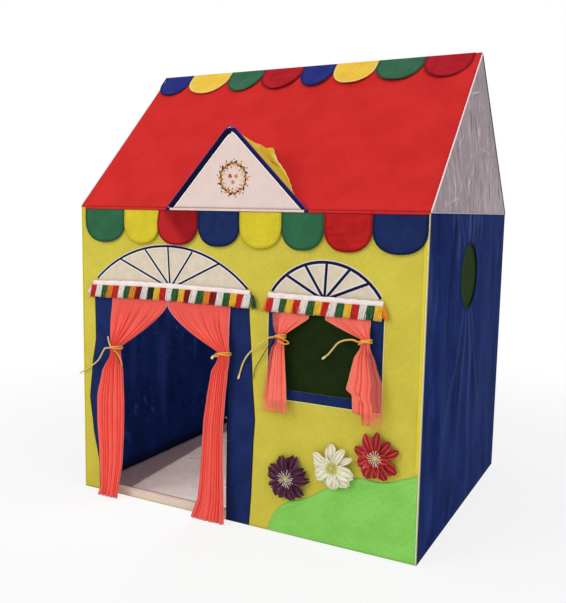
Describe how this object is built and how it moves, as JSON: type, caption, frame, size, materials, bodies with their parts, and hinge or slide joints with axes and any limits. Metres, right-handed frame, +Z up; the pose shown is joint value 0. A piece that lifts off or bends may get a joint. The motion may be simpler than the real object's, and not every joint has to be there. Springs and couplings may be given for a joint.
{
  "type": "play tent",
  "caption": "Children's cottage play tent: a sewn cloth cover with tied curtains, scalloped flaps and a dormer, over a push-fit frame of plastic tube.",
  "frame": {"origin": "the middle of the flat underside of the floor sheet, on the ground, halfway across the tent's width and depth", "axes": "+Z up; +X to the viewer's right when facing the front; the front wall with the door and the window faces -Y"},
  "size_m": [1.2172, 1.0333, 1.4726],
  "materials": {
    "frame_plastic": "smooth white plastic tube",
    "yellow_cloth": "non-woven yellow cloth",
    "navy_cloth": "thin navy cloth with a slight sheen",
    "red_cloth": "non-woven red cloth",
    "grey_cloth": "crinkled grey nylon",
    "green_net": "dark green mosquito net",
    "dormer_print": null,
    "green_felt": "green felt",
    "yellow_felt": "yellow felt",
    "red_felt": "red felt",
    "blue_felt": "blue felt",
    "fringe_yarn": "tassels of loose yarn in several colours",
    "coral_cloth": "thin coral satin",
    "tie_cord": "braided pale yellow cord",
    "purple_cloth": "purple cloth",
    "white_cloth": "white cloth"
  },
  "bodies": {
    "tent": {"post_front_left": "frame_plastic", "post_front_right": "frame_plastic", "post_back_left": "frame_plastic", "post_back_right": "frame_plastic", "eave_corner_front_left": "frame_plastic", "eave_corner_front_right": "frame_plastic", "eave_corner_back_left": "frame_plastic", "eave_corner_back_right": "frame_plastic", "base_rail_front": "frame_plastic", "base_rail_back": "frame_plastic", "base_rail_left": "frame_plastic", "base_rail_right": "frame_plastic", "eave_rail_front": "frame_plastic", "eave_rail_back": "frame_plastic", "eave_rail_left": "frame_plastic", "eave_rail_right": "frame_plastic", "rafter_front_left": "frame_plastic", "rafter_front_right": "frame_plastic", "rafter_back_left": "frame_plastic", "rafter_back_right": "frame_plastic", "ridge_pole": "frame_plastic", "front_wall": "yellow_cloth", "left_wall": "navy_cloth", "right_wall": "navy_cloth", "back_wall": "navy_cloth", "front_roof": "red_cloth", "back_roof": "red_cloth", "left_gable": "grey_cloth", "right_gable": "grey_cloth", "floor_sheet": "grey_cloth", "window_net": "green_net", "round_window_net": "green_net", "dormer_front": "dormer_print", "dormer_cover": "yellow_cloth", "door_curtain_left": "coral_cloth", "door_curtain_right": "coral_cloth", "window_curtain_left": "coral_cloth", "window_curtain_right": "coral_cloth", "door_tie_left": "tie_cord", "door_tie_right": "tie_cord", "window_tie_left": "tie_cord", "window_tie_right": "tie_cord", "flower_purple": "purple_cloth", "flower_white": "white_cloth", "flower_red": "red_felt"},
    "eave_flap_1": {"eave_scallop_1": "green_felt"},
    "eave_flap_2": {"eave_scallop_2": "yellow_felt"},
    "eave_flap_3": {"eave_scallop_3": "red_felt"},
    "eave_flap_4": {"eave_scallop_4": "blue_felt"},
    "eave_flap_5": {"eave_scallop_5": "yellow_felt"},
    "eave_flap_6": {"eave_scallop_6": "green_felt"},
    "eave_flap_7": {"eave_scallop_7": "red_felt"},
    "eave_flap_8": {"eave_scallop_8": "blue_felt"},
    "ridge_flap": {"ridge_scallops": "yellow_felt"},
    "door_fringe_flap": {"door_fringe": "fringe_yarn"},
    "window_fringe_flap": {"window_fringe": "fringe_yarn"},
    "door_left_tail": {"door_curtain_left_tail": "coral_cloth"},
    "door_right_tail": {"door_curtain_right_tail": "coral_cloth"},
    "window_left_tail": {"window_curtain_left_tail": "coral_cloth"},
    "window_right_tail": {"window_curtain_right_tail": "coral_cloth"}
  },
  "joints": [
    {"name": "eave_flap_1_lift", "type": "hinge", "parent": "tent", "child": "eave_flap_1", "pos_m": [-0.525, -0.4863, 0.97171], "axis": [-1, 0, 0], "range_deg": [0, 170]},
    {"name": "eave_flap_2_lift", "type": "hinge", "parent": "tent", "child": "eave_flap_2", "pos_m": [-0.375, -0.4863, 0.97171], "axis": [-1, 0, 0], "range_deg": [0, 170]},
    {"name": "eave_flap_3_lift", "type": "hinge", "parent": "tent", "child": "eave_flap_3", "pos_m": [-0.225, -0.4863, 0.97171], "axis": [-1, 0, 0], "range_deg": [0, 170]},
    {"name": "eave_flap_4_lift", "type": "hinge", "parent": "tent", "child": "eave_flap_4", "pos_m": [-0.075, -0.4863, 0.97171], "axis": [-1, 0, 0], "range_deg": [0, 170]},
    {"name": "eave_flap_5_lift", "type": "hinge", "parent": "tent", "child": "eave_flap_5", "pos_m": [0.075, -0.4863, 0.97171], "axis": [-1, 0, 0], "range_deg": [0, 170]},
    {"name": "eave_flap_6_lift", "type": "hinge", "parent": "tent", "child": "eave_flap_6", "pos_m": [0.225, -0.4863, 0.97171], "axis": [-1, 0, 0], "range_deg": [0, 170]},
    {"name": "eave_flap_7_lift", "type": "hinge", "parent": "tent", "child": "eave_flap_7", "pos_m": [0.375, -0.4863, 0.97171], "axis": [-1, 0, 0], "range_deg": [0, 170]},
    {"name": "eave_flap_8_lift", "type": "hinge", "parent": "tent", "child": "eave_flap_8", "pos_m": [0.525, -0.4863, 0.97171], "axis": [-1, 0, 0], "range_deg": [0, 170]},
    {"name": "ridge_flap_lift", "type": "hinge", "parent": "tent", "child": "ridge_flap", "pos_m": [0, 0, 1.47186], "axis": [-1, 0, 0], "range_deg": [0, 265]},
    {"name": "door_fringe_lift", "type": "hinge", "parent": "tent", "child": "door_fringe_flap", "pos_m": [-0.244, -0.49085, 0.712], "axis": [-1, 0, 0], "range_deg": [0, 150]},
    {"name": "window_fringe_lift", "type": "hinge", "parent": "tent", "child": "window_fringe_flap", "pos_m": [0.3, -0.49085, 0.712], "axis": [-1, 0, 0], "range_deg": [0, 150]},
    {"name": "door_left_tail_lift", "type": "hinge", "parent": "tent", "child": "door_left_tail", "pos_m": [-0.4435, -0.5028, 0.4912], "axis": [-1, 0, 0], "range_deg": [0, 80]},
    {"name": "door_right_tail_lift", "type": "hinge", "parent": "tent", "child": "door_right_tail", "pos_m": [-0.023, -0.5028, 0.5142], "axis": [-1, 0, 0], "range_deg": [0, 80]},
    {"name": "window_left_tail_lift", "type": "hinge", "parent": "tent", "child": "window_left_tail", "pos_m": [0.169, -0.4998, 0.5892], "axis": [-1, 0, 0], "range_deg": [0, 80]},
    {"name": "window_right_tail_lift", "type": "hinge", "parent": "tent", "child": "window_right_tail", "pos_m": [0.435, -0.4998, 0.5997], "axis": [-1, 0, 0], "range_deg": [0, 80]}
  ]
}
